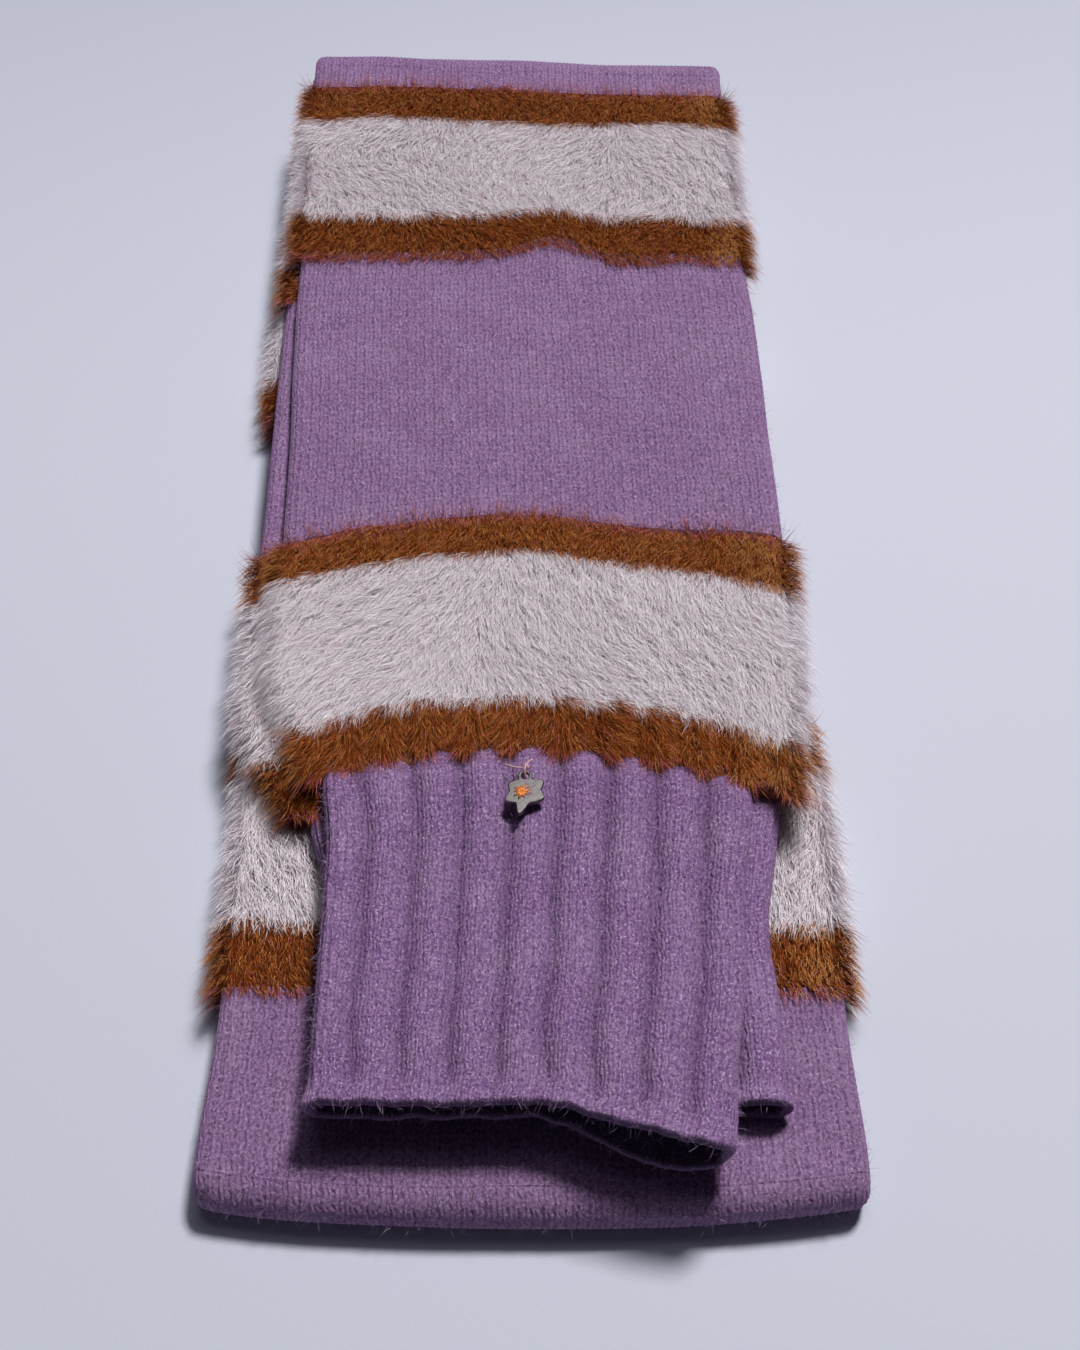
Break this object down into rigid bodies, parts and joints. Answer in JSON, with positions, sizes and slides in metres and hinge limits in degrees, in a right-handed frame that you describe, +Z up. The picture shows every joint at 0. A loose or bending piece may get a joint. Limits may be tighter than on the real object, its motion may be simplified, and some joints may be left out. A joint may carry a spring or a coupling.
{
  "type": "knitted tube muffler",
  "caption": "Long knitted tube folded in four, with striped fur-yarn bands, two open ribbed cuffs and a small star charm on a thread loop",
  "frame": {"origin": "middle of the folded tube's footprint, on the surface that it lies on", "axes": "+Z up, +X across the tube, +Y along the tube, away from the open cuffs"},
  "size_m": [0.168, 0.446, 0.0371],
  "materials": {
    "lilac_knit": "matt heathered stockinette with light flecks and a soft halo",
    "lilac_ribbing": "matt heathered wide rib with light flecks",
    "caramel_fur_yarn": "long soft pile, slightly glossy hairs",
    "cream_fur_yarn": "long soft pile, slightly glossy hairs",
    "charm_metal": "dark polished plate with a gunmetal edge",
    "orange_enamel": "glossy enamel",
    "rose_thread": "fine twisted thread"
  },
  "bodies": {
    "lower_pair": {"bottom_near_set_front_caramel": "caramel_fur_yarn", "bottom_near_set_cream": "cream_fur_yarn", "bottom_near_set_back_caramel": "caramel_fur_yarn", "bottom_far_set_front_caramel": "caramel_fur_yarn", "bottom_far_set_cream": "cream_fur_yarn", "bottom_far_set_back_caramel": "caramel_fur_yarn", "third_near_set_front_caramel": "caramel_fur_yarn", "third_near_set_cream": "cream_fur_yarn", "third_near_set_back_caramel": "caramel_fur_yarn", "third_far_set_front_caramel": "caramel_fur_yarn", "third_far_set_cream": "cream_fur_yarn", "third_far_set_back_caramel": "caramel_fur_yarn", "near_fold_lilac": "lilac_knit", "far_fold_outer_lilac": "lilac_knit", "far_fold_inner_lilac": "lilac_knit", "bottom_near_lilac": "lilac_knit", "bottom_middle_lilac": "lilac_knit", "bottom_end_lilac": "lilac_knit", "third_near_lilac": "lilac_knit", "third_middle_lilac": "lilac_knit", "third_end_lilac": "lilac_knit"},
    "upper_pair": {"second_near_set_front_caramel": "caramel_fur_yarn", "second_near_set_cream": "cream_fur_yarn", "second_near_set_back_caramel": "caramel_fur_yarn", "second_far_set_front_caramel": "caramel_fur_yarn", "second_far_set_cream": "cream_fur_yarn", "second_far_set_back_caramel": "caramel_fur_yarn", "top_near_set_front_caramel": "caramel_fur_yarn", "top_near_set_cream": "cream_fur_yarn", "top_near_set_back_caramel": "caramel_fur_yarn", "top_far_set_front_caramel": "caramel_fur_yarn", "top_far_set_cream": "cream_fur_yarn", "top_far_set_back_caramel": "caramel_fur_yarn", "second_middle_lilac": "lilac_knit", "second_end_lilac": "lilac_knit", "top_middle_lilac": "lilac_knit", "top_end_lilac": "lilac_knit", "top_cuff_rib": "lilac_ribbing", "top_cuff_edge": "lilac_ribbing", "second_cuff_rib": "lilac_ribbing", "second_cuff_edge": "lilac_ribbing", "charm_knot": "rose_thread"},
    "loop": {"charm_thread_loop": "rose_thread"},
    "charm": {"charm_plate": "charm_metal", "charm_starburst": "orange_enamel"}
  },
  "joints": [
    {"name": "far_fold", "type": "hinge", "parent": "lower_pair", "child": "upper_pair", "pos_m": [0, 0.2158, 0.0142], "axis": [-1, 0, 0], "range_deg": [0, 178], "deforming": ["far_fold_outer_lilac", "far_fold_inner_lilac"]},
    {"name": "charm_swivel", "type": "hinge", "parent": "upper_pair", "child": "loop", "pos_m": [-0.001, -0.1066, 0.0348], "axis": [0, 0, 1], "range_deg": [-35, 35]},
    {"name": "charm_flip", "type": "hinge", "parent": "loop", "child": "charm", "pos_m": [-0.001, -0.1066, 0.0348], "axis": [-1, 0, 0], "range_deg": [0, 165]}
  ]
}
